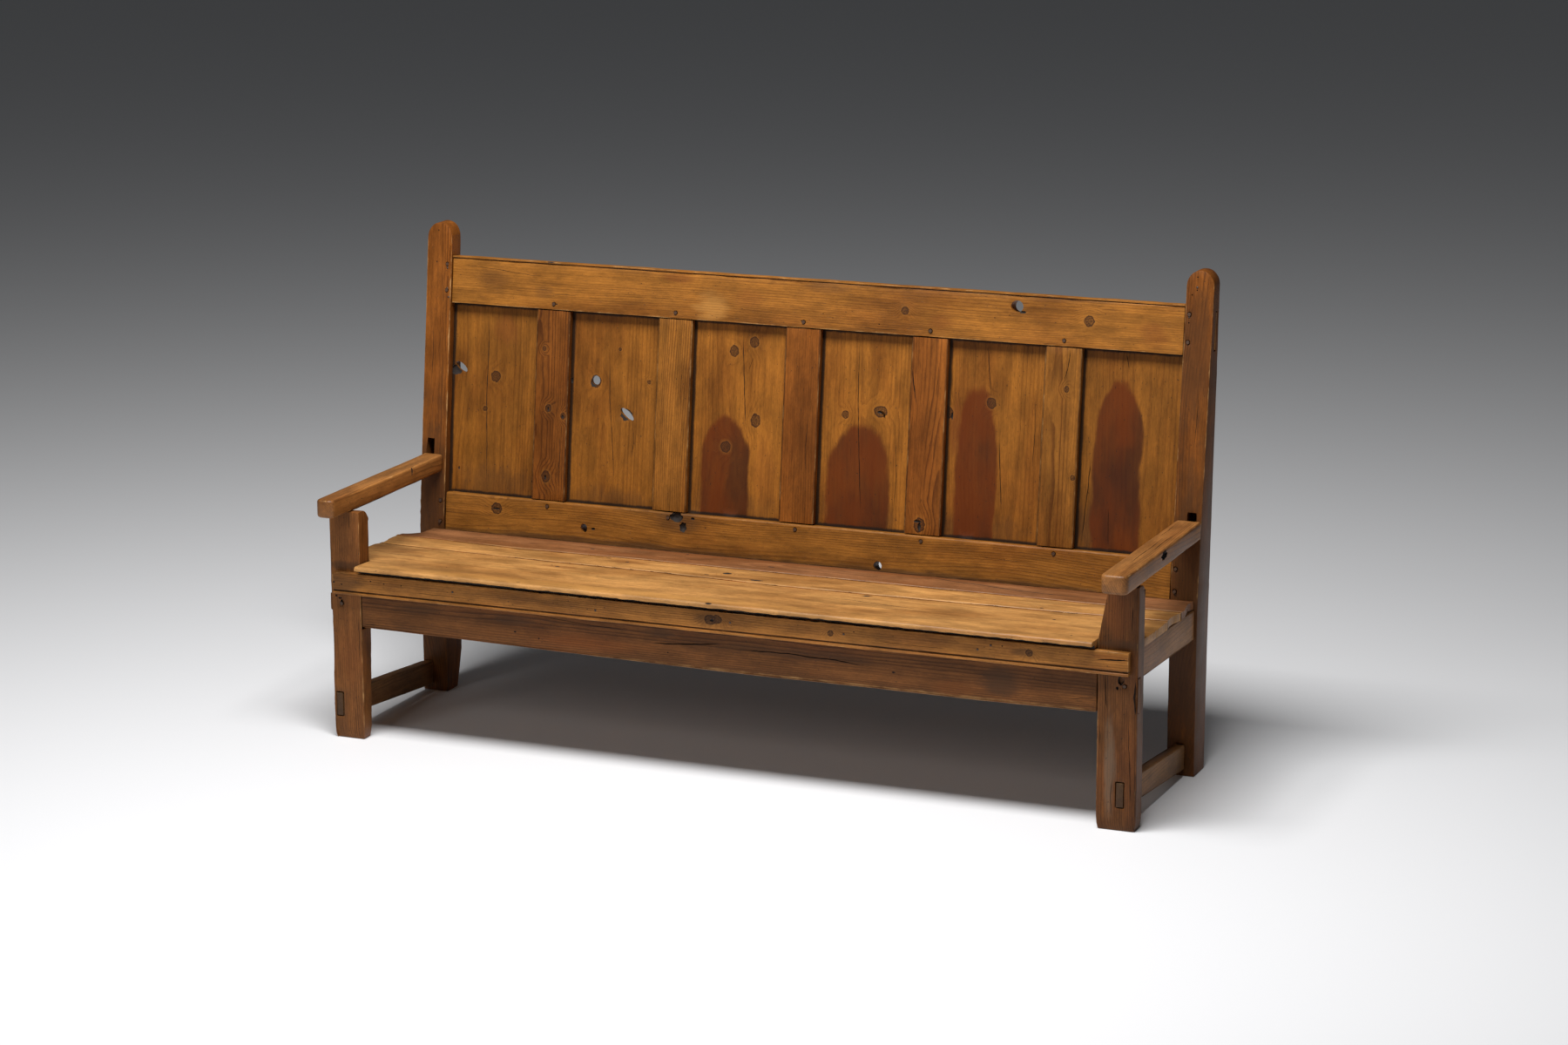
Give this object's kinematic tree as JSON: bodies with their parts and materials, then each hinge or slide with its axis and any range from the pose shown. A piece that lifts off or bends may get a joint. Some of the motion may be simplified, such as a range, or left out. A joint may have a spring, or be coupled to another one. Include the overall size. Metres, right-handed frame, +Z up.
{
  "type": "panel-back settle bench",
  "caption": "Long wooden settle with a leaning framed panel back between tall round-topped posts, a plank seat with a beaded edge strip, and open arms on the front legs.",
  "frame": {"origin": "on the floor, under the middle of the bench's overall length and depth", "axes": "+X along the bench to the sitter's left, -Y to the front where the sitter's feet go, +Y to the back, +Z up"},
  "size_m": [1.952, 0.652, 1.137],
  "materials": {
    "honey_pine": "waxed, satin",
    "seat_pine": "waxed, worn satin",
    "brown_pine": "old brown stain, dull satin",
    "peg_wood": "dark, dull"
  },
  "bodies": {
    "root": {"back_post_left": "honey_pine", "back_post_right": "honey_pine", "top_rail": "honey_pine", "bottom_rail": "honey_pine", "muntin_1": "honey_pine", "muntin_2": "honey_pine", "muntin_3": "honey_pine", "muntin_4": "honey_pine", "muntin_5": "honey_pine", "back_panel_1": "honey_pine", "back_panel_2": "honey_pine", "back_panel_3": "honey_pine", "back_panel_4": "honey_pine", "back_panel_5": "honey_pine", "back_panel_6": "honey_pine", "arm_left": "honey_pine", "arm_right": "honey_pine", "seat_board_1": "seat_pine", "seat_board_2": "seat_pine", "seat_board_3": "seat_pine", "seat_edge_moulding": "brown_pine", "front_apron": "brown_pine", "side_seat_rail_left": "brown_pine", "side_seat_rail_right": "brown_pine", "rear_seat_rail": "brown_pine", "seat_bearer_left": "brown_pine", "seat_bearer_right": "brown_pine", "front_leg_left": "brown_pine", "front_leg_right": "brown_pine", "low_stretcher_left": "brown_pine", "low_stretcher_right": "brown_pine", "apron_peg_left": "peg_wood", "apron_peg_right": "peg_wood", "muntin_peg_bottom_1": "peg_wood", "muntin_peg_bottom_2": "peg_wood", "muntin_peg_bottom_3": "peg_wood", "muntin_peg_bottom_4": "peg_wood", "muntin_peg_bottom_5": "peg_wood", "muntin_peg_top_1": "peg_wood", "muntin_peg_top_2": "peg_wood", "muntin_peg_top_3": "peg_wood", "muntin_peg_top_4": "peg_wood", "muntin_peg_top_5": "peg_wood", "post_peg_left_1": "peg_wood", "post_peg_left_2": "peg_wood", "post_peg_left_3": "peg_wood", "post_peg_left_4": "peg_wood", "post_peg_right_1": "peg_wood", "post_peg_right_2": "peg_wood", "post_peg_right_3": "peg_wood", "post_peg_right_4": "peg_wood"}
  },
  "joints": []
}
